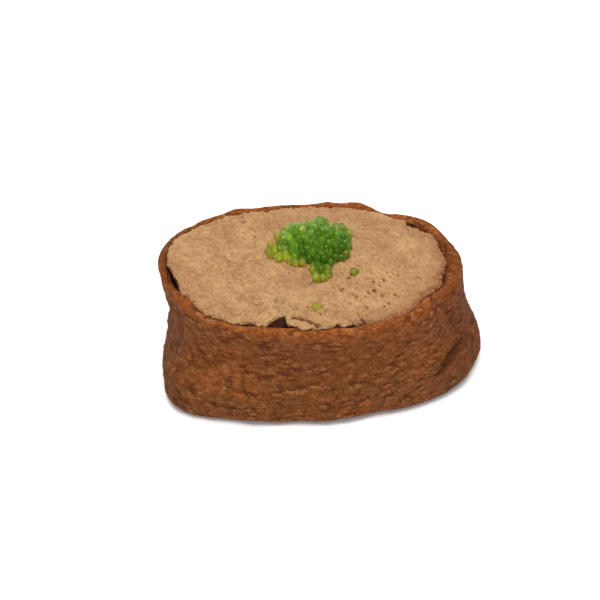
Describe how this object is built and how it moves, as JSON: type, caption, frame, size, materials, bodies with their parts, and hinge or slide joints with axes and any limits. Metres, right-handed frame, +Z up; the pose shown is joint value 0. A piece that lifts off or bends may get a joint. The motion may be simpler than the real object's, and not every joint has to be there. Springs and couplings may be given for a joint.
{
  "type": "inari sushi",
  "caption": "Oval pouch of brown fried tofu, open at the top, full of pale fish paste and topped with a small heap of green fish roe.",
  "frame": {"origin": "on the surface that the pouch stands on, under the middle of the whole food's box", "axes": "+X along the pouch's long side, towards its pointed right corner; +Y towards the back; +Z up, out of the open top"},
  "size_m": [0.0732, 0.0428, 0.0345],
  "materials": {
    "tofu_skin": "brown simmered fried tofu, wrinkled, with pale ridges, dark creases and a moist gloss on the folded rim",
    "fish_paste": "pale tan, moist and finely lumpy, with soft spatula marks",
    "roe": "green, clear and glossy, yellower where the heap is thin"
  },
  "bodies": {
    "root": {"pouch": "tofu_skin", "filling": "fish_paste", "roe_heap": "roe"}
  },
  "joints": []
}
